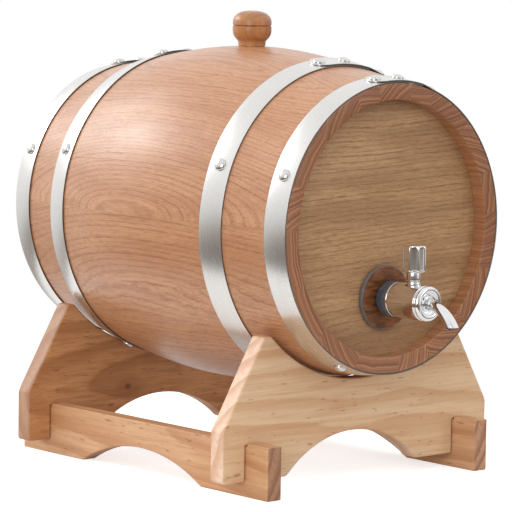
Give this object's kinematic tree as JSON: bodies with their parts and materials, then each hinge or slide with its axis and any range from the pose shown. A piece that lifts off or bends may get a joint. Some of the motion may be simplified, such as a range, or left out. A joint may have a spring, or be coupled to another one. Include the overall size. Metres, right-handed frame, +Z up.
{
  "type": "oak wine barrel",
  "caption": "Small oak wine barrel with nailed steel hoops, a chromed tap with a turning key, a lift-out wooden bung and a slotted pine cradle that the barrel lifts off.",
  "frame": {"origin": "on the floor under the middle of the whole object's bounding box", "axes": "+Z up, -Y towards the tap end along the barrel's axis, +X to the right seen from the tap end"},
  "size_m": [0.2896, 0.4142, 0.3738],
  "materials": {
    "stave_oak": "satin varnished oak",
    "head_oak": "planed oak, lightly sealed",
    "bung_wood": "turned and polished hardwood",
    "pine": "sanded pine with eased edges",
    "hoop_steel": "brushed stainless strip",
    "nail_steel": "polished stainless",
    "chrome": "mirror",
    "silicone": "smoked translucent silicone"
  },
  "bodies": {
    "stand": {"front_cradle": "pine", "rear_cradle": "pine", "left_rail": "pine", "right_rail": "pine"},
    "barrel": {"bung_stave": "stave_oak", "stave_02": "stave_oak", "stave_03": "stave_oak", "stave_04": "stave_oak", "stave_05": "stave_oak", "stave_06": "stave_oak", "stave_07": "stave_oak", "stave_08": "stave_oak", "stave_09": "stave_oak", "stave_10": "stave_oak", "stave_11": "stave_oak", "stave_12": "stave_oak", "stave_13": "stave_oak", "stave_14": "stave_oak", "stave_15": "stave_oak", "stave_16": "stave_oak", "stave_17": "stave_oak", "front_head_plank_1": "head_oak", "front_head_plank_2": "head_oak", "front_head_plank_3": "head_oak", "rear_head_plank_1": "head_oak", "rear_head_plank_2": "head_oak", "rear_head_plank_3": "head_oak", "front_head_hoop": "hoop_steel", "front_quarter_hoop": "hoop_steel", "rear_quarter_hoop": "hoop_steel", "rear_head_hoop": "hoop_steel", "front_head_nail_1": "nail_steel", "front_head_nail_2": "nail_steel", "front_head_nail_3": "nail_steel", "front_head_nail_4": "nail_steel", "front_quarter_nail_1": "nail_steel", "front_quarter_nail_2": "nail_steel", "front_quarter_nail_3": "nail_steel", "front_quarter_nail_4": "nail_steel", "rear_quarter_nail_1": "nail_steel", "rear_quarter_nail_2": "nail_steel", "rear_quarter_nail_3": "nail_steel", "rear_quarter_nail_4": "nail_steel", "rear_head_nail_1": "nail_steel", "rear_head_nail_2": "nail_steel", "rear_head_nail_3": "nail_steel", "rear_head_nail_4": "nail_steel", "head_pad": "silicone", "tap_grommet": "silicone", "tap_body": "chrome", "tap_nose": "chrome", "spout": "chrome", "inner_seal": "silicone", "inner_washer": "nail_steel", "lock_nut": "nail_steel"},
    "bung": {"bung": "bung_wood"},
    "tap_key": {"valve_plug": "nail_steel", "key_stem": "chrome", "stem_seal": "silicone", "key_knob": "chrome"}
  },
  "joints": [
    {"name": "barrel_lift", "type": "slide", "parent": "stand", "child": "barrel", "axis": [0, 0, 1], "range_m": [0, 0.15]},
    {"name": "bung_pull", "type": "slide", "parent": "barrel", "child": "bung", "axis": [0, 0, 1], "range_m": [0, 0.06]},
    {"name": "key_turn", "type": "hinge", "parent": "barrel", "child": "tap_key", "pos_m": [0, -0.1577, 0.1513], "axis": [0, 0, 1], "range_deg": [0, 90]}
  ]
}
